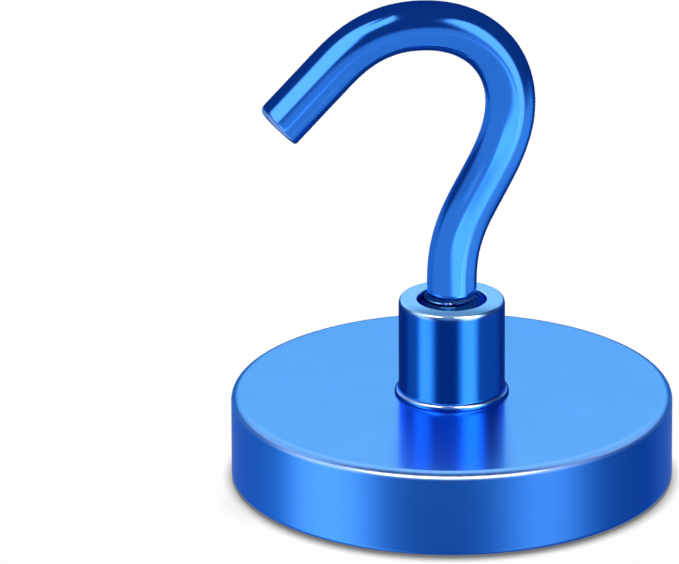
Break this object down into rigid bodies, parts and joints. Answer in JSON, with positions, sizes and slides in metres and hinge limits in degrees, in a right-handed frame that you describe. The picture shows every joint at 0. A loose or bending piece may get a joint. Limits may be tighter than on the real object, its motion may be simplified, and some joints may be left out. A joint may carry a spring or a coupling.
{
  "type": "magnetic hook",
  "caption": "Round pot magnet with a threaded boss on its back, which carries a bent steel hook that turns; bright blue finish.",
  "frame": {"origin": "centre of the magnet's free face, in the plane of the cup's rim", "axes": "+Z along the cup's axis, from the magnet's face towards the hook; the hook bends in the XZ plane with its tip towards -X"},
  "size_m": [0.032, 0.032, 0.0366],
  "materials": {
    "cup": "bright metallic blue lacquer over plated steel",
    "boss": "bright metallic blue lacquer over plated steel",
    "hook": "bright metallic blue lacquer over plated steel",
    "magnet": "satin nickel plate with a fine grain",
    "resin": "black cast resin"
  },
  "bodies": {
    "base": {"cup": "cup", "magnet_disc": "magnet", "resin_bond": "resin", "threaded_boss": "boss"},
    "hook": {"hook": "hook"}
  },
  "joints": [
    {"name": "hook_turn", "type": "hinge", "parent": "base", "child": "hook", "pos_m": [0, 0, 0.0136], "axis": [0, 0, 1], "continuous": true}
  ]
}
